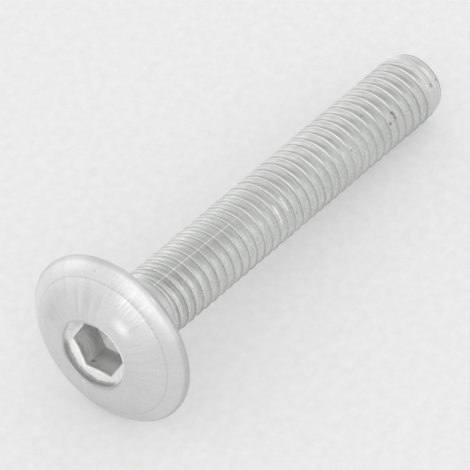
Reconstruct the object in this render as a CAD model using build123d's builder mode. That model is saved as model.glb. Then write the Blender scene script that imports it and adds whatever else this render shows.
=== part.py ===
from build123d import *
import os
from math import atan, cos, radians, sin, tan

# Hexagon socket button head screw, M6 x 1 x 40, with a low, wide head of two domed bands.
# It is headed cold from one piece of wire. Its thread is rolled on and has its groove left out here,
# so the shank is as thick as the crests of the thread.
# The screw lies on the ground (Z = 0), on the rim of its head and the last full crest of its thread.
# Its tip points along +X, and the origin is on the ground below the middle of its whole length.
# All sizes are in millimetres, and distances along the screw are from the bearing face of its head.

# ---- driving dimensions ----
# head
head_dia = 14.8
rim_height = 0.28          # straight edge round the head
rim_rounding = 0.08        # of both corners of that edge
shoulder_dia = 12.3        # ring where the crown meets the outer band
shoulder_height = 1.24
shoulder_bulge = 0.1       # how far the outer band's arc stands over its chord
crown_height = 2.62        # up to the mouth of the socket
crown_bulge = 0.14         # how far the crown's arc stands over its chord

# socket
mouth_dia = 6.0            # round recess in front of the hexagon
mouth_chamfer = 0.1
mouth_depth = 0.5          # of the recess's straight wall
floor_slope = 17           # of the recess's floor, which funnels the key into the hexagon, in degrees
key_size = 4.0             # across the flats of the key
key_clearance = 0.15
key_depth = 2.77           # from the foot of the recess's wall to the floor of the hexagon
key_turn = 25              # from the top of the screw to a corner of the hexagon, in degrees

# shank
length = 40.0              # bearing face to tip
thread_dia = 5.88          # over the crests, with the usual allowance below 6
neck_length = 4.1          # left plain between head and thread
neck_dia = 5.8
neck_fillet = 0.4          # where the neck meets the bearing face
tip_length = 1.5           # tapered start of the thread
tip_dia = 5.22             # end face

# ---- derived ----
head_r = head_dia / 2
shoulder_r = shoulder_dia / 2
mouth_r = mouth_dia / 2
crown_edge_r = mouth_r + mouth_chamfer
thread_r = thread_dia / 2
neck_r = neck_dia / 2
tip_r = tip_dia / 2
thread_end = length - tip_length
wall_foot = mouth_depth - crown_height

# ---- how it lies ----
# The axis dips towards the tip, because the rim of the head is wider than the shank.
dip = atan((head_r - thread_r) / thread_end)
reach_back = crown_height * cos(dip) + crown_edge_r * sin(dip)
reach_front = length * cos(dip) + tip_r * sin(dip)
bearing_centre = Vector((reach_back - reach_front) / 2, 0, head_r * cos(dip))
axis_direction = Vector(cos(dip), 0, -sin(dip))
screw_axis = Axis(bearing_centre, axis_direction)
# Lengthwise section: its x runs along the screw towards the tip, and its y is the radius.
section = Plane(bearing_centre, x_dir=axis_direction, z_dir=(0, -1, 0))
# Plane square to the screw at the foot of the recess's wall: its x points to the top of the screw.
key_plane = Plane(bearing_centre + axis_direction * wall_foot, x_dir=section.y_dir, z_dir=axis_direction)

with BuildPart() as screw:
    # head, recess and shank: one outline turned about the axis
    with BuildSketch(section) as outline:
        with BuildLine():
            crown_edge = (-crown_height, crown_edge_r)
            shoulder = (-shoulder_height, shoulder_r)
            rim_front = (-rim_height, head_r)
            rim_back = (0, head_r)
            neck_corner = (0, neck_r)
            Polyline(
                crown_edge,
                (-crown_height + mouth_chamfer, mouth_r),
                (wall_foot, mouth_r),
                (wall_foot + mouth_r * tan(radians(floor_slope)), 0),
                (length, 0),
                (length, tip_r),
                (thread_end, thread_r),
                (neck_length, thread_r),
                (neck_length, neck_r),
                neck_corner,
                rim_back,
                rim_front,
            )
            SagittaArc(shoulder, rim_front, shoulder_bulge)
            SagittaArc(crown_edge, shoulder, crown_bulge)
        make_face()
        fillet(outline.vertices().sort_by_distance(neck_corner)[0], neck_fillet)
        for rim_corner in (rim_back, rim_front):
            fillet(outline.vertices().sort_by_distance(rim_corner)[0], rim_rounding)
    revolve(axis=screw_axis)

    # hexagon for the key, through the sloping floor of the recess down to a flat floor of its own
    with BuildSketch(key_plane):
        RegularPolygon((key_size + key_clearance) / 2, side_count=6, major_radius=False, rotation=key_turn)
    extrude(amount=key_depth, mode=Mode.SUBTRACT)

screw.part.label = "screw"
os.makedirs("parts", exist_ok=True)
export_step(screw.part, "parts/screw.step")
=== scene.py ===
import bmesh
import bpy
import numpy as np
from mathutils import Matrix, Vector


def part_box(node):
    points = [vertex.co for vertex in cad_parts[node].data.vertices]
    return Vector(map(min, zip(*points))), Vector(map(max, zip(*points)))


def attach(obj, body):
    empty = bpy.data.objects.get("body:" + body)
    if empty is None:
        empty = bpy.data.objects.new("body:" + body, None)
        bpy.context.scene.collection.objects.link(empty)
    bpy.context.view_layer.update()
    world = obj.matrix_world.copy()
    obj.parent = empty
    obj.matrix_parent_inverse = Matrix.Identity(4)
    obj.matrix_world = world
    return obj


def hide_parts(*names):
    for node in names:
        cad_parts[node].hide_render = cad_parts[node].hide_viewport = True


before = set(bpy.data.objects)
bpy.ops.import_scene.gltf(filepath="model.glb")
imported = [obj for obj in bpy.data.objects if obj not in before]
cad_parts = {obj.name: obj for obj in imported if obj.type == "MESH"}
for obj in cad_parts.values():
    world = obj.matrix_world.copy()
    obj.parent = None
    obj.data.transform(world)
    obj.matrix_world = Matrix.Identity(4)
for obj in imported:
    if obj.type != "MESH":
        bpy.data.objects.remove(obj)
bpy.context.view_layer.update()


# ---- camera ----
# It looks down on the screw from the head's side, from far off through a long lens, so that the
# screw hardly narrows towards its tip.

mm = 0.001
camera_turn = np.radians(53.05)      # from +Y towards +X
camera_drop = np.radians(47.2)       # below the horizon
camera_distance = 445.3 * mm
camera_target = Vector((-2.68, 0.27, 5.0)) * mm
focal_share = 12.0946                # focal length over the width of the frame
nearest_seen = 10 * mm

view = Vector((np.sin(camera_turn) * np.cos(camera_drop), np.cos(camera_turn) * np.cos(camera_drop),
               -np.sin(camera_drop)))
camera = bpy.data.objects.new("camera", bpy.data.cameras.new("camera"))
bpy.context.scene.collection.objects.link(camera)
camera.location = camera_target - view * camera_distance
camera.rotation_euler = view.to_track_quat("-Z", "Y").to_euler()
camera.data.lens = focal_share * camera.data.sensor_width
camera.data.clip_start = nearest_seen
bpy.context.scene.camera = camera


# ---- body of the screw ----
# One piece of steel: a low, wide head with a hexagon socket, a plain neck and a metric thread. It is
# headed cold from wire, its socket is punched, its thread is rolled on, and all of it is plated bright.
# It is made as one closed skin, turned about the axis of the screw.

# head and neck: distances along are from the bearing face of the head towards the tip
low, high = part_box("screw")
head_r = (high.y - low.y) / 2
crown_height = 2.62 * mm             # of the mouth of the socket
mouth_r = 3.0 * mm                   # with its chamfer, where the crown's arc ends
mouth_chamfer = 0.1 * mm
shoulder = (-1.24 * mm, 6.15 * mm)   # crease between crown and outer band: along, radius
crease_depth = 0.012 * mm
crease_width = 0.05 * mm
crown_bulge = 0.14 * mm              # how far the crown's arc stands over its chord
band_bulge = 0.1 * mm
rim_height = 0.28 * mm
rim_rounding = 0.08 * mm
neck_r = 2.9 * mm
neck_fillet = 0.4 * mm

# socket
recess_r = 2.94 * mm                 # round recess in front of the hexagon
recess_wall_top = 0.2 * mm           # below the mouth
lip_rounding = 0.13 * mm
wall_foot = -2.12 * mm               # where the recess's wall meets its floor
foot_rounding = 0.08 * mm
floor_slope = np.radians(17)         # of the recess's floor, down to the hexagon
key_apothem = 2.075 * mm             # half across the flats
key_turn = np.radians(25)            # first corner of the hexagon, from the top of the screw
key_edge = 0.07 * mm                 # broken edge of the hexagon
key_floor = 0.65 * mm                # flat floor of the hexagon

# thread
length = 40.0 * mm
pitch = 1.0 * mm
thread_r = 2.94 * mm                 # over the crests
thread_start = 3.95 * mm
thread_end = 38.5 * mm               # last full crest
first_crest = 0.548 * mm             # where the crest's line passes the top of the screw
runout = 0.75 * mm                   # the groove deepens over this length
groove_depth = 0.56 * pitch
groove_bend = 2.0                    # how round the bottom of the groove is
crest_flat = pitch / 8
taper_slope = 0.12                   # where the taper starts, at least the slope of the dip
tip_bend = 0.15 * mm                 # how much more the taper's curve takes off at the tip
tip_rounding = 0.12 * mm
fade_from = 38.0 * mm                # the groove gets shallower from here to the tip

# The screw rests on the rim of its head and the last full crest of its thread, so its axis dips.
dip = np.arctan((head_r - thread_r) / thread_end)
axis = np.array([np.cos(dip), 0, -np.sin(dip)])
top = np.array([np.sin(dip), 0, np.cos(dip)])
side = np.cross(axis, top)
back_reach = crown_height * np.cos(dip) + (mouth_r + mouth_chamfer) * np.sin(dip)
bearing_centre = np.array([low.x + back_reach, 0, head_r * np.cos(dip)])

columns = 120                        # round the axis
turn = key_turn + np.linspace(0, 2 * np.pi, columns + 1)


def lay(angle, along, radius):
    """Places points round the axis: bearing centre + along * axis + radius * direction, where the
    direction is the top of the screw turned by the angle, as a right-hand screw turns to go in."""
    along, radius = np.asarray(along), np.asarray(radius)
    direction = np.cos(angle)[..., None] * top + np.sin(angle)[..., None] * side
    return bearing_centre + along[..., None] * axis + radius[..., None] * direction


def arc(start, end, bulge, steps):
    """Points of the circle's arc from start to end. A point's distance from the middle of the chord
    and the circle's radius give how far the arc stands over the chord there."""
    start, end = np.array(start), np.array(end)
    chord = np.linalg.norm(end - start)
    radius = (chord ** 2 / 4 + bulge ** 2) / (2 * bulge)
    share = np.linspace(0, 1, steps)[:, None]
    rise = np.sqrt(radius ** 2 - (chord * (share - 0.5)) ** 2) - (radius - bulge)
    outward = np.array([start[1] - end[1], end[0] - start[0]]) / chord
    return start + share * (end - start) + rise * outward


def corner(before, at, after, radius, steps=5):
    """Points of the arc that rounds a corner, from where it touches the edge that comes from the point
    before to where it touches the edge to the point after. The centre is on the line that halves the
    corner, at radius / sin of its half angle, and the points turn about it by even steps."""
    before, at, after = np.array(before), np.array(at), np.array(after)
    back = (before - at) / np.linalg.norm(before - at)
    on = (after - at) / np.linalg.norm(after - at)
    half = np.arccos(np.clip(back @ on, -1, 1)) / 2
    centre = at + (back + on) / np.linalg.norm(back + on) * radius / np.sin(half)
    first, last = at + back * radius / np.tan(half) - centre, at + on * radius / np.tan(half) - centre
    angle = np.pi - 2 * half
    share = np.linspace(0, 1, steps)[:, None]
    return centre + (np.sin((1 - share) * angle) * first + np.sin(share * angle) * last) / np.sin(angle)


def round_stations(points):
    """Stations of a plain turned profile from its points, along and radius: no part of the radius is
    hexagonal, and none lies on the slope of the recess's floor."""
    points = np.atleast_2d(points)
    return np.column_stack([points, np.zeros_like(points)])


mouth_edge = (-crown_height, mouth_r + mouth_chamfer)
mouth_wall = (-crown_height + recess_wall_top, recess_r)
foot_corner = (wall_foot, recess_r)
foot_reach = 0.3 * mm                # how far down the slope its first point lies
down_slope = (wall_foot + foot_reach * np.tan(floor_slope), recess_r - foot_reach)
rim_front = (-rim_height, head_r)
rim_back = (0.0, head_r)
neck_corner = (0.0, neck_r)

# The first stretch of the crown is drawn on inwards to the recess's wall, and their corner is rounded.
crown = arc(mouth_edge, shoulder, crown_bulge, 22)
lip_corner = crown[1] + (crown[0] - crown[1]) * (crown[1, 1] - recess_r) / (crown[1, 1] - crown[0, 1])
band = arc(shoulder, rim_front, band_bulge, 16)
# The crease is one ring, sunk between the points of crown and band that are clear of it.
in_crease = (shoulder[0] + crease_depth, shoulder[1])
before_crease = crown[np.linalg.norm(crown - shoulder, axis=1) > crease_width]
after_crease = band[np.linalg.norm(band - shoulder, axis=1) > crease_width]
# Rings of the bearing face, clear of the rim and of the neck's fillet, and rings of the plain neck.
bearing_radii = np.linspace(head_r - 0.5 * mm, neck_r + neck_fillet + 0.2 * mm, 8)
neck_rings = (1.5 * mm, 2.7 * mm, thread_start)

# Stations of the socket, from the middle of its floor outwards: the distance along, the round part and
# the hexagonal part of the radius, and how far the station follows the slope of the recess's floor.
socket = np.vstack([
    np.array([
        # floor of the hexagon
        (key_floor, 0, 0, 0),
        (key_floor, 0, 0.5 * key_apothem, 0),
        (key_floor, 0, 0.9 * key_apothem, 0),
        # its sides
        (key_floor - 0.03 * mm, 0, key_apothem, 0),
        (key_floor - 0.5 * mm, 0, key_apothem, 0),
        (wall_foot + 1.0 * mm, 0, key_apothem, 0.3),
        (wall_foot + 0.3 * mm, 0, key_apothem, 1),
        # its broken edge
        (wall_foot + key_edge, 0, key_apothem, 1),
        (wall_foot + 0.3 * key_edge, 0, key_apothem + 0.3 * key_edge, 1),
        (wall_foot, 0, key_apothem + key_edge, 1),
        # slope of the recess's floor
        (wall_foot, 0.3 * recess_r, 0.7 * key_apothem, 1),
        (wall_foot, 0.7 * recess_r, 0.27 * key_apothem, 1),
    ]),
    round_stations(corner(down_slope, foot_corner, mouth_wall, foot_rounding)),
    round_stations(mouth_wall),
])
head = np.vstack([
    round_stations(mouth_wall),
    round_stations(corner(mouth_wall, lip_corner, crown[2], lip_rounding, 7)),
    round_stations(before_crease[2:]),
    round_stations(in_crease),
    round_stations(after_crease[:-1]),
    round_stations(corner(band[-2], rim_front, rim_back, rim_rounding)),
    round_stations(corner(rim_front, rim_back, neck_corner, rim_rounding)),
    round_stations([(0.0, radius) for radius in bearing_radii]),
    round_stations((0.0, neck_r + neck_fillet)),
])
neck = np.vstack([
    round_stations(corner(rim_back, neck_corner, (thread_start, neck_r), neck_fillet, 9)),
    round_stations([(along, neck_r) for along in neck_rings]),
])


def hexagon(angle):
    """Radius of a hexagon over its apothem: 1 / cos of the angle from its nearest side's middle."""
    from_side = (angle - key_turn) % (np.pi / 3) - np.pi / 6
    return 1 / np.cos(from_side)


def turned(stations):
    """Grid of angle, along and radius for a turned skin. The radius is the round part plus the hexagon
    part times the hexagon's radius at that angle. On the slope, a point lies as far beyond its station
    as it is nearer to the axis than the recess's wall, times the slope."""
    radius = stations[:, 1:2] + stations[:, 2:3] * hexagon(turn)
    along = stations[:, :1] + stations[:, 3:4] * (recess_r - radius) * np.tan(floor_slope)
    return np.broadcast_to(turn, along.shape), along, radius


# One pitch of the thread, as shares of the pitch from the middle of a crest. The points crowd at
# the edges of the crest and of the root.
pitch_shares = np.array([-0.5, -0.43, -0.36, -0.29, -0.22, -0.16, -0.11, -0.075, -0.05, 0, 0.05, 0.075,
                         0.11, 0.16, 0.22, 0.29, 0.36, 0.43])


def thread_radius(angle, along):
    """Radius of the thread: the blank's radius less the groove, and no more than the taper's. The crest
    line moves along by one pitch a turn. The groove is a round trough: it drops from each edge of a
    crest, steeply at first, to its deepest line halfway to the next crest. It deepens smoothly over the
    run-out at the neck and gets shallower evenly towards the tip. The taper falls evenly from the last
    full crest, and more and more by the square of the way to the tip. Also gives the cosine and sine of
    the turn within the pitch, which are 1 and 0 on a crest, times how deep the groove is cut."""
    crests = (along - first_crest) / pitch - angle / (2 * np.pi)
    from_crest = np.abs(crests - np.round(crests)) * pitch
    down = np.clip((from_crest - crest_flat / 2) / (pitch / 2 - crest_flat / 2), 0, 1)
    depth = groove_depth * (1 - (1 - down) ** groove_bend)
    started = np.clip((along - thread_start) / runout, 0, 1)
    started = started * started * (3 - 2 * started)
    blank = neck_r + (thread_r - neck_r) * started
    cut = started * (1 - np.clip((along - fade_from) / (length - fade_from), 0, 1))
    past_end = np.clip(along - thread_end, 0, None)
    taper = thread_r - taper_slope * past_end - tip_bend * (past_end / (length - thread_end)) ** 2
    within = np.stack([np.cos(2 * np.pi * crests), np.sin(2 * np.pi * crests)], axis=-1)
    return np.minimum(blank - depth * cut, taper), within * cut[..., None]


# The grid's lines follow the crests, so each line starts anew where the turn closes. At both ends
# they are held at the thread's first and last distance along.
last_along = length - tip_rounding
turns = int(round((length - thread_start) / pitch)) + 2    # with one to spare at both ends
thread_lines = (np.arange(turns)[:, None] + pitch_shares).ravel()
thread_lines += np.floor((thread_start - first_crest) / pitch) - 1 - key_turn / (2 * np.pi)
thread_angle = np.broadcast_to(turn[:, None], (len(turn), len(thread_lines)))
thread_along = first_crest + pitch * (thread_lines + thread_angle / (2 * np.pi))
thread_along = np.clip(thread_along, thread_start, last_along)
thread_radii, thread_within = thread_radius(thread_angle, thread_along)

# End face: its edge follows the cut thread, rounded over.
end_shares = np.array([1.0, 0.985, 0.955, 0.9, 0.7, 0.4, 0.15, 0.0])
end_drop = np.array([0.0, 0.6, 0.92, 1.0, 1.0, 1.0, 1.0, 1.0]) * tip_rounding
end_angle = np.broadcast_to(turn, (len(end_shares), len(turn)))
end_along = np.repeat((last_along + end_drop)[:, None], len(turn), axis=1)
end_edge, _ = thread_radius(turn, np.full(len(turn), last_along))
end_radius = end_shares[:, None] * end_edge


def grid_faces(rows, across):
    """Corner numbers of the quads between neighbouring points of a rows x across grid."""
    first = (np.arange(rows - 1)[:, None] * across + np.arange(across - 1)).ravel()
    return np.stack([first, first + 1, first + across + 1, first + across], axis=1)


def add_skin(parts, angle, along, radius, finish, within=None):
    """Adds a grid of points to the list of parts, with its faces, the number of its finish, and what
    the finishes read: turning is the cosine and sine of the angle and the distance along, and profile
    is the radius and the cosine and sine of the turn within the pitch. Both lengths are in mm."""
    if within is None:
        within = np.zeros(along.shape + (2,))
    parts.append({
        "points": lay(angle, along, radius).reshape(-1, 3),
        "faces": grid_faces(*along.shape),
        "turning": np.stack([np.cos(angle), np.sin(angle), along / mm], axis=-1).reshape(-1, 3),
        "profile": np.concatenate([radius[..., None] / mm, within], axis=-1).reshape(-1, 3),
        "finish": finish,
    })


def join(parts, name):
    """One mesh object from all parts: points and faces run on, and each face keeps its finish. Seams
    and poles are closed by merging their points, and edges over the sharp angle stay sharp."""
    merge_distance = 0.0005 * mm
    sharp_angle = np.radians(40)
    counts = [len(part["points"]) for part in parts]
    starts = np.cumsum([0] + counts[:-1])
    mesh = bpy.data.meshes.new(name)
    points = np.vstack([part["points"] for part in parts])
    faces = np.vstack([part["faces"] + start for part, start in zip(parts, starts)])
    mesh.from_pydata(points.tolist(), [], faces.tolist())
    for carried in ("turning", "profile"):
        attribute = mesh.attributes.new(carried, "FLOAT_VECTOR", "POINT")
        attribute.data.foreach_set("vector", np.vstack([part[carried] for part in parts]).ravel())
    finish = np.concatenate([np.full(len(part["faces"]), part["finish"]) for part in parts])
    mesh.polygons.foreach_set("material_index", finish.astype(np.int32))
    skin = bmesh.new()
    skin.from_mesh(mesh)
    bmesh.ops.remove_doubles(skin, verts=skin.verts, dist=merge_distance)
    bmesh.ops.recalc_face_normals(skin, faces=skin.faces)
    skin.to_mesh(mesh)
    skin.free()
    mesh.polygons.foreach_set("use_smooth", np.ones(len(mesh.polygons), bool))
    mesh.set_sharp_from_angle(angle=sharp_angle)
    piece = bpy.data.objects.new(name, mesh)
    bpy.context.scene.collection.objects.link(piece)
    return piece


headed, punched, rolled = range(3)   # finishes, in the order of the body's materials
parts = []
add_skin(parts, *turned(socket), finish=punched)
add_skin(parts, *turned(head), finish=headed)
add_skin(parts, *turned(neck), finish=rolled)
add_skin(parts, thread_angle.T, thread_along.T, thread_radii.T, finish=rolled,
         within=thread_within.transpose(1, 0, 2))
add_skin(parts, end_angle, end_along, end_radius, finish=rolled)
body = join(parts, "screw_body")


def add_node(kind, *values, output=0, **settings):
    """Adds a node to the tree of the sockets that it is linked to. Its inputs are given in order, as
    sockets to link from or as plain values, and None leaves one as it is. Gives the numbered output."""
    tree = next(value.id_data for value in values if isinstance(value, bpy.types.NodeSocket))
    node = tree.nodes.new(kind)
    for name, setting in settings.items():
        setattr(node, name, setting)
    for socket, value in zip(node.inputs, values):
        if isinstance(value, bpy.types.NodeSocket):
            tree.links.new(value, socket)
        elif value is not None:
            socket.default_value = value
    return node.outputs[output]


def maths(operation, *values):
    """The operation of one Math node on these values."""
    return add_node("ShaderNodeMath", *values, operation=operation)


def times(*values):
    """The product of all values."""
    product = values[0]
    for value in values[1:]:
        product = maths("MULTIPLY", product, value)
    return product


def plus(base, *terms):
    """The base plus each term's value times its factor."""
    for value, factor in terms:
        base = maths("MULTIPLY_ADD", value, factor, base)
    return base


def step(value, low, high):
    """A smooth step from 0 at low to 1 at high, where low may also be the greater of the two."""
    return add_node("ShaderNodeMapRange", value, low, high, 0.0, 1.0, interpolation_type="SMOOTHSTEP")


def line(value, middle, half_width):
    """1 where the value is at the middle, easing to 0 at half a width to either side."""
    return step(maths("ABSOLUTE", maths("SUBTRACT", value, middle)), half_width, 0.0)


def past(angle, low, high):
    """The smooth step for an angle, with its limits in degrees."""
    return step(angle, np.radians(low), np.radians(high))


def sector(angle, middle, spread):
    """1 at the middle angle, easing to 0 at the spread to either side, in degrees."""
    return line(angle, np.radians(middle), np.radians(spread))


def away_from(angle, middle, low, high):
    """The smooth step for how far an angle is from the middle, to either side, in degrees."""
    return past(maths("ABSOLUTE", maths("SUBTRACT", angle, np.radians(middle))), low, high)


def stretched(x, y, z):
    """A place for noise, which is drawn out along the values that change little."""
    return add_node("ShaderNodeCombineXYZ", x, y, z)


def cloud(place, scale=1.0, detail=2.0, roughness=0.55, fourth=None):
    """Smooth noise with features about 1 / scale across, spread by 3.2 * noise - 1.6 to about -1 to 1.
    It can also change with a fourth value beside the three of the place."""
    noise = add_node("ShaderNodeTexNoise", place, fourth, scale, detail, roughness,
                     noise_dimensions="3D" if fourth is None else "4D")
    return plus(-1.6, (noise, 3.2))


def spots(place, marks):
    """1 at the middle of each mark and 0 from its size on. A mark is its angle in degrees, and its
    distance along, radius and size in mm."""
    core_share = 0.35
    total = 0.0
    for degrees, along, radius, size in marks:
        middle = lay(np.radians(degrees), along * mm, radius * mm)
        away = add_node("ShaderNodeVectorMath", place, middle, operation="DISTANCE", output=1)
        total = maths("ADD", total, step(away, size * mm, core_share * size * mm))
    return total


def painted(shade, marks):
    """The shade times 1 + change * mask for each mark, which is a pair of mask and change."""
    for mask, change in marks:
        shade = times(shade, plus(1.0, (mask, change)))
    return shade


def new_steel(name):
    """A new material, and what its patterns read: the place in space, and the three numbers each of
    the skin's turning and of its profile."""
    material = bpy.data.materials.new(name)
    material.use_nodes = True
    tree = material.node_tree
    carried = []
    for attribute_name in ("turning", "profile"):
        attribute = tree.nodes.new("ShaderNodeAttribute")
        attribute.attribute_name = attribute_name
        parted = tree.nodes.new("ShaderNodeSeparateXYZ")
        tree.links.new(attribute.outputs["Vector"], parted.inputs[0])
        carried.append(parted.outputs)
    turning, profile = carried
    return material, tree.nodes.new("ShaderNodeTexCoord").outputs["Object"], turning, profile


def finish_steel(material, shade, tint, roughness, relief, relief_depth):
    """Links the patterns to the shader: the tint times the shade, the roughness, and the relief, which
    stands out by its depth where it is 1."""
    tree = material.node_tree
    shader = tree.nodes["Principled BSDF"]
    shader.inputs["Metallic"].default_value = 1.0
    colour = add_node("ShaderNodeVectorMath", shade, tint, operation="MULTIPLY")
    tree.links.new(colour, shader.inputs["Base Color"])
    tree.links.new(roughness, shader.inputs["Roughness"])
    bump = tree.nodes.new("ShaderNodeBump")
    bump.inputs["Distance"].default_value = relief_depth
    tree.links.new(relief, bump.inputs["Height"])
    tree.links.new(bump.outputs["Normal"], shader.inputs["Normal"])
    return material


def head_mark(degrees, radius, size):
    """A mark on crown or band, at the distance along that their outline has at this radius in mm."""
    outline = np.vstack([crown, band[1:]]) / mm
    return degrees, np.interp(radius, outline[:, 1], outline[:, 0]), radius, size


def headed_steel():
    """Head: fine rays from the heading die, strongest on its right side, clouds and streaks across the
    crown, painted shade in the crease and on the rim, painted highlights on strokes, band, rim and lip,
    a smoother patch with a painted highlight, small handling marks and painted glints. They are placed
    by their angle from the top, in degrees, and their radius in mm."""
    material, place, (cos_turn, sin_turn, _), (radius, _, _) = new_steel("headed_steel")
    angle = maths("ARCTAN2", sin_turn, cos_turn)

    def rays(count, change):
        """Noise with about this many features round the head, which changes little along the radius."""
        return cloud(stretched(times(cos_turn, count), times(sin_turn, count), times(radius, change)))

    fine_rays = rays(26.0, 0.35)
    broad_rays = rays(9.0, 0.2)
    short_rays = rays(34.0, 1.1)
    clouds = cloud(place, scale=330.0, detail=4.0)
    grain = cloud(place, scale=5200.0)
    # a smoother patch, which also carries a painted highlight
    smooth_highlight_patch = times(sector(angle, 30, 18), line(radius, 4.38, 0.68))
    at_rim = step(radius, 7.02, 7.2)

    shade = painted(0.76, [
        (fine_rays, 0.022),
        (broad_rays, 0.035),
        (clouds, 0.05),
        (grain, 0.045),
        # bright strokes across the crease, on the right side: streaks with a painted highlight on them
        (times(sector(angle, 20, 44), line(radius, 6.05, 1.5), step(short_rays, -0.2, 0.7)), 0.27),
        # outer band, with a painted sheen
        (times(step(radius, 4.9, 7.0), sector(angle, -55, 88)), 0.22),
        # finer rays right of the socket
        (times(sector(angle, 70, 55), line(radius, 4.4, 1.9), fine_rays), 0.09),
        # grey and pale streaks between socket and crease, at the top
        (times(sector(angle, -18, 38), line(radius, 4.4, 1.8), broad_rays), 0.17),
        # smears at the left
        (times(sector(angle, -88, 30), line(radius, 5.0, 1.5), step(clouds, 0.1, -0.8)), -0.12),
        # crease, in painted shade
        (times(line(radius, 6.15, 0.075), step(clouds, -1.2, 0.3)), -0.16),
        # rim: painted shade along it, more painted shade on one stretch, a painted highlight on another
        # and a painted glint
        (step(radius, 7.08, 7.34), -0.2),
        (times(at_rim, sector(angle, 38, 20)), -0.14),
        (times(at_rim, sector(angle, 6, 20)), 0.14),
        (times(line(radius, 7.3, 0.07), sector(angle, 30, 4)), 0.3),
        # lip: a painted highlight on the right, and painted shade elsewhere
        (times(line(radius, 3.09, 0.09), sector(angle, 46, 56)), 0.62),
        (times(line(radius, 3.0, 0.13), away_from(angle, 0, 95, 125)), -0.3),
        (times(line(radius, 3.14, 0.17), sector(angle, 150, 38)), -0.17),
        (times(line(radius, 3.13, 0.07), sector(angle, -60, 45)), -0.18),
        # smoother patch with a painted highlight, smudge, dark specks, and two painted glints at the
        # lip
        (smooth_highlight_patch, 0.37),
        (times(sector(angle, 67, 11), line(radius, 6.2, 0.28), step(clouds, -0.6, 0.6)), -0.14),
        (spots(place, [
            head_mark(-86, 5.05, 0.1), head_mark(-13, 6.75, 0.09), head_mark(-16, 5.54, 0.07),
            head_mark(-86, 7.25, 0.1), head_mark(7, 3.04, 0.11), head_mark(38, 3.03, 0.1)]), -0.3),
        (spots(place, [head_mark(-166, 3.36, 0.13), head_mark(-171, 3.12, 0.12)]), 0.3),
    ])
    roughness = plus(0.34, (fine_rays, 0.03), (smooth_highlight_patch, -0.08))
    relief = plus(fine_rays, (grain, 0.6))
    return finish_steel(material, shade, (0.955, 0.955, 0.95), roughness, relief, 0.0012 * mm)


def punched_steel():
    """Socket: a rough wall in painted shade with a ragged edge, a pale slope round the hexagon with
    painted light and shade on it, bowed punch marks across the hexagon's sides, painted shade at their
    edge, in a corner and deepening further down, and painted light on the floor. They are placed by
    angle in degrees, and by radius or distance along in mm."""
    material, place, (cos_turn, sin_turn, along), (radius, _, _) = new_steel("punched_steel")
    angle = maths("ARCTAN2", sin_turn, cos_turn)
    clouds = cloud(place, scale=1500.0, detail=3.0)
    grain = cloud(place, scale=5200.0)
    from_left = maths("SUBTRACT", angle, np.radians(-125))
    bowed = plus(along, (times(from_left, from_left), 2.6))
    punch_marks = cloud(stretched(times(bowed, 4.5), cos_turn, sin_turn), detail=3.0)
    ragged_radius = plus(radius, (clouds, 0.14))
    left = sector(angle, -125, 42)
    in_hexagon = step(along, -1.86, -1.7)
    on_floor = step(along, 0.6, 0.64)

    # The shade starts paler than the head's: painted light in the deep socket.
    shade = painted(0.93, [
        (clouds, 0.1),
        (grain, 0.08),
        # wall of the recess, in painted shade but for two stretches
        (times(step(ragged_radius, 2.68, 2.86), away_from(angle, 118, 8, 30),
               away_from(angle, -40, 48, 72)), -0.47),
        # upper left of the recess: painted shade on the slope below painted light on the wall
        (times(sector(angle, -45, 60), step(radius, 2.2, 2.5)), -0.22),
        (times(sector(angle, -40, 55), step(radius, 2.75, 2.9)), 0.25),
        # painted light on the left of the slope
        (times(left, line(radius, 2.4, 0.4)), 0.12),
        # hexagon: a painted shadow line below its edge, painted shade in a corner, on its sides and
        # more on their lower ends, the punch marks, and painted light on its floor
        (line(along, -1.62, 0.22), -0.14),
        (spots(place, [(-159, -1.2, 2.36, 0.24)]), -0.45),
        (in_hexagon, -0.13),
        (step(along, -1.0, 0.1), -0.38),
        (times(in_hexagon, punch_marks), plus(0.05, (left, 0.28))),
        (on_floor, 1.05),
    ])
    roughness = plus(0.52, (on_floor, 0.35), (clouds, 0.05))
    relief = maths("ADD", punch_marks, grain)
    return finish_steel(material, shade, (0.98, 0.985, 0.97), roughness, relief, 0.004 * mm)


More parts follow.
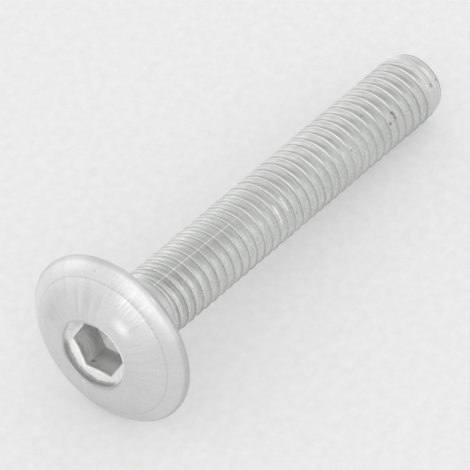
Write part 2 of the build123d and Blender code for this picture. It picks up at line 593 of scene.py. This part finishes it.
def rolled_steel():
    """Shank: rolled thread with fine lines along its groove, painted highlights on its crests, painted
    shade in its grooves and on its flanks, a speckled lower side, a scratch, two painted highlights on
    a flank and some specks. They are placed by angle in degrees, distance along in mm, and part of the
    pitch past a crest."""
    material, place, turning, profile = new_steel("rolled_steel")
    cos_turn, sin_turn, along = turning
    _, cos_within, sin_within = profile
    angle = maths("ARCTAN2", sin_turn, cos_turn)
    turn_within = maths("ARCTAN2", sin_within, cos_within)
    # Both are 1 on the thread, and 0 on the neck and where the groove has faded at the tip.
    on_thread = maths("ADD", times(cos_within, cos_within), times(sin_within, sin_within))
    cut = step(on_thread, 0.1, 0.9)

    def part_of_pitch(middle, half_width):
        """1 on the line that lies this part of a pitch past each crest, 0 from half a width on."""
        off = plus(turn_within, (middle, -2 * np.pi))
        return times(cut, step(maths("COSINE", off), np.cos(2 * np.pi * half_width), 1.0))

    # The fine lines change much within the pitch, and slowly along and round the screw. The end face
    # has none.
    slowly = plus(times(along, 0.22), (cos_turn, 0.9))
    lines = cloud(stretched(slowly, times(sin_turn, 0.9), times(cos_within, 2.6)), detail=3.0,
                  fourth=times(sin_within, 2.6))
    lines = times(lines, step(along, 39.99, 39.9))
    clouds = cloud(place, scale=420.0, detail=3.0)
    grain = cloud(place, scale=5600.0, roughness=0.6)

    first_turns = step(along, 20.0, 8.0)
    towards_tip = step(along, 15.0, 25.0)
    before_tip = times(towards_tip, step(along, 38.5, 37.9))
    upper_side = past(angle, 5, -35)
    front_side = sector(angle, 16, 26)
    low_side = past(angle, 28, 52)
    crest = part_of_pitch(0.0, 0.1)
    crest_foot = part_of_pitch(0.93, 0.05)
    crest_line = times(crest, sector(angle, 5, 55))
    # painted shade in the groove, less of it near the head, on the low side and towards the back
    groove_shade = plus(-0.32, (first_turns, 0.09), (low_side, 0.18), (past(angle, -24, -38), 0.3))

    shade = painted(0.77, [
        (lines, 0.2),
        (clouds, 0.03),
        (grain, plus(0.08, (past(angle, 10, 50), 0.1))),
        # crests: a painted highlight that changes round the screw, painted shade near the head, cloudy
        # tone, a stronger painted highlight towards the tip, and a painted shadow line at their foot
        (crest, plus(0.22, (upper_side, -0.13), (low_side, -0.2))),
        (times(crest_line, first_turns), -0.14),
        (times(crest_line, clouds), 0.1),
        (times(before_tip, front_side, part_of_pitch(0.0, 0.12)), 0.24),
        (crest_foot, -0.12),
        (times(low_side, crest_foot), -0.1),
        # painted shade in the groove, less of it near the head, on the low side and towards the back;
        # painted shade on the flank towards the tip, and painted light on the low side
        (part_of_pitch(0.61, 0.2), groove_shade),
        (times(towards_tip, front_side, part_of_pitch(0.76, 0.22)), -0.1),
        (times(low_side, part_of_pitch(0.72, 0.14)), 0.1),
        # whole stretches: painted light above and more of it near the head, painted shade on the front
        # near the head, painted light at the top towards the tip, painted shade in the fillet below the
        # head, and a darker line at the end
        (upper_side, 0.08),
        (times(step(along, 24.0, 14.0), upper_side), 0.08),
        (times(step(along, 20.0, 12.0), sector(angle, 22, 28)), -0.1),
        (times(towards_tip, sector(angle, -4, 18)), 0.07),
        (step(along, 0.8, 0.1), -0.3),
        (line(along, 39.84, 0.13), -0.4),
    ])

    # Thin painted lines on the upper side: a painted shadow line and a painted highlight climb the
    # flank towards the back, and other painted shade and highlight lines stay near the crest.
    dark_climbing = plus(0.61, (maths("MAXIMUM", times(sin_turn, -1.0), 0.0), 0.3))
    pale_climbing = maths("ADD", dark_climbing, 0.065)
    from_above = past(angle, -14, -28)
    shade = painted(shade, [
        (times(from_above, part_of_pitch(dark_climbing, 0.045)), -0.24),
        (times(from_above, part_of_pitch(pale_climbing, 0.035)), 0.1),
        (times(sector(angle, -18, 12), part_of_pitch(0.875, 0.035)), -0.07),
        (times(sector(angle, -30, 12), part_of_pitch(0.915, 0.05)), 0.06),
        (times(sector(angle, -29, 13), part_of_pitch(0.045, 0.035)), -0.14),
    ])

    # Straight scratch along the thread near the head: a thin plane through two points on the crests
    # and one at the bottom of the groove.
    scratch_start = lay(np.radians(11.2), 5.0 * mm, thread_r)
    scratch_end = lay(np.radians(14.0), 14.5 * mm, thread_r)
    scratch_root = lay(np.radians(7.7), 9.75 * mm, thread_r - groove_depth)
    across = np.cross(scratch_end - scratch_start, scratch_root - scratch_start)
    across /= np.linalg.norm(across)
    off_plane = add_node("ShaderNodeVectorMath", place, across, operation="DOT_PRODUCT", output=1)
    scratch = times(line(off_plane, float(across @ scratch_start), 0.08 * mm), step(along, 4.0, 4.6),
                    step(along, 17.5, 11.5), away_from(angle, 0, 60, 50))

    # Two painted highlights on stretches of a flank, and painted shade on the last turn, where the
    # groove fades. They are placed by the turns from the first crest: the distance along in mm, as the
    # pitch is 1, less the share of a turn.
    turns_on = plus(maths("SUBTRACT", along, first_crest / mm), (angle, -0.5 / np.pi))
    first_stretch = times(line(turns_on, 18.72, 0.055), past(angle, 28, 34), past(angle, 64, 58))
    second_stretch = times(line(turns_on, 17.69, 0.055), past(angle, 32, 38), past(angle, 80, 74))
    last_turn = times(line(turns_on, 38.75, 0.28), sector(angle, 6, 45))

    shade = painted(shade, [
        (scratch, 0.42),
        (first_stretch, 0.75),
        (second_stretch, 0.75),
        (last_turn, -0.22),
        # dark specks, faint specks and pale ones at the neck
        (spots(place, [
            (44.5, 33.6, 2.9, 0.2), (49.0, 33.7, 2.94, 0.17), (54.2, 33.74, 2.94, 0.22),
            (62.7, 33.33, 2.42, 0.2), (49.0, 38.72, 2.88, 0.14), (53.0, 38.76, 2.88, 0.18),
            (51.0, 39.62, 2.7, 0.17)]), -0.55),
        (spots(place, [
            (14.5, 31.29, 2.49, 0.13), (51.4, 28.3, 2.42, 0.14), (54.0, 28.36, 2.42, 0.14),
            (79.8, 20.39, 2.42, 0.14)]), -0.3),
        (spots(place, [(23.8, 3.23, 2.9, 0.13), (24.2, 2.95, 2.9, 0.12)]), 0.4),
    ])
    roughness = plus(0.4, (grain, 0.04))
    relief = plus(times(lines, on_thread), (grain, 0.6))
    return finish_steel(material, shade, (0.93, 0.945, 0.925), roughness, relief, 0.004 * mm)


for finish in (headed_steel, punched_steel, rolled_steel):
    body.data.materials.append(finish())
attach(body, "root")
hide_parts("screw")


# ---- table ----
# A sheet of white, faintly mottled paper, far larger than what is seen of it. It glows a little, but
# only for the camera and in gloss, so it shows paler than it is lit and keeps the screw's shadow.

table_reach = 2.0
paper_shade = 0.59
mottling = 0.042
paper_glow = 0.25                    # where 1 is white


def mottled_paper():
    """Paper: its shade with small clouds in it, and its glow for the rays that see it."""
    material = bpy.data.materials.new("paper")
    material.use_nodes = True
    tree = material.node_tree
    shader = tree.nodes["Principled BSDF"]
    clouds = cloud(tree.nodes.new("ShaderNodeTexCoord").outputs["Object"], scale=1200.0, detail=4.0)
    tree.links.new(plus(paper_shade, (clouds, mottling)), shader.inputs["Base Color"])
    shader.inputs["Roughness"].default_value = 0.9
    shader.inputs["Emission Color"].default_value = (1, 1, 1, 1)
    rays = tree.nodes.new("ShaderNodeLightPath").outputs
    seen = maths("MAXIMUM", rays["Is Camera Ray"], rays["Is Glossy Ray"])
    tree.links.new(times(seen, paper_glow), shader.inputs["Emission Strength"])
    return material


table_mesh = bpy.data.meshes.new("table")
table_corners = [(x * table_reach, y * table_reach, 0) for x, y in ((-1, -1), (1, -1), (1, 1), (-1, 1))]
table_mesh.from_pydata(table_corners, [], [(0, 1, 2, 3)])
table_mesh.materials.append(mottled_paper())
table = bpy.data.objects.new("table", table_mesh)
bpy.context.scene.collection.objects.link(table)


# ---- light ----
# A plain white room with three large, soft windows: one low beyond the screw, one behind the camera
# and one high on the camera's right.

room_glow = 0.87

world = bpy.data.worlds.new("studio")
bpy.context.scene.world = world
world.use_nodes = True
world.node_tree.nodes["Background"].inputs["Color"].default_value = (1, 1, 1, 1)
world.node_tree.nodes["Background"].inputs["Strength"].default_value = room_glow


def window(name, turned, raised, distance, width, height, glow):
    """A flat lamp that faces the screw. It is turned from +X and raised from the table, in degrees, and
    its power is its glow, where 1 is white, times pi times its area."""
    turned, raised = np.radians(turned), np.radians(raised)
    place = distance * Vector((np.cos(turned) * np.cos(raised), np.sin(turned) * np.cos(raised),
                               np.sin(raised)))
    lamp = bpy.data.lights.new(name, "AREA")
    lamp.shape = "RECTANGLE"
    lamp.size = width
    lamp.size_y = height
    lamp.energy = glow * np.pi * width * height
    lamp_object = bpy.data.objects.new(name, lamp)
    bpy.context.scene.collection.objects.link(lamp_object)
    lamp_object.location = place
    lamp_object.rotation_euler = (-place).to_track_quat("-Z", "Y").to_euler()


window("low_window", turned=92, raised=14, distance=1.0, width=1.4, height=0.6, glow=0.22)
window("high_window", turned=210, raised=37, distance=1.2, width=2.0, height=1.0, glow=0.46)
window("top_window", turned=270, raised=64, distance=1.2, width=0.7, height=0.7, glow=0.4)

bpy.context.scene.view_settings.view_transform = "Standard"
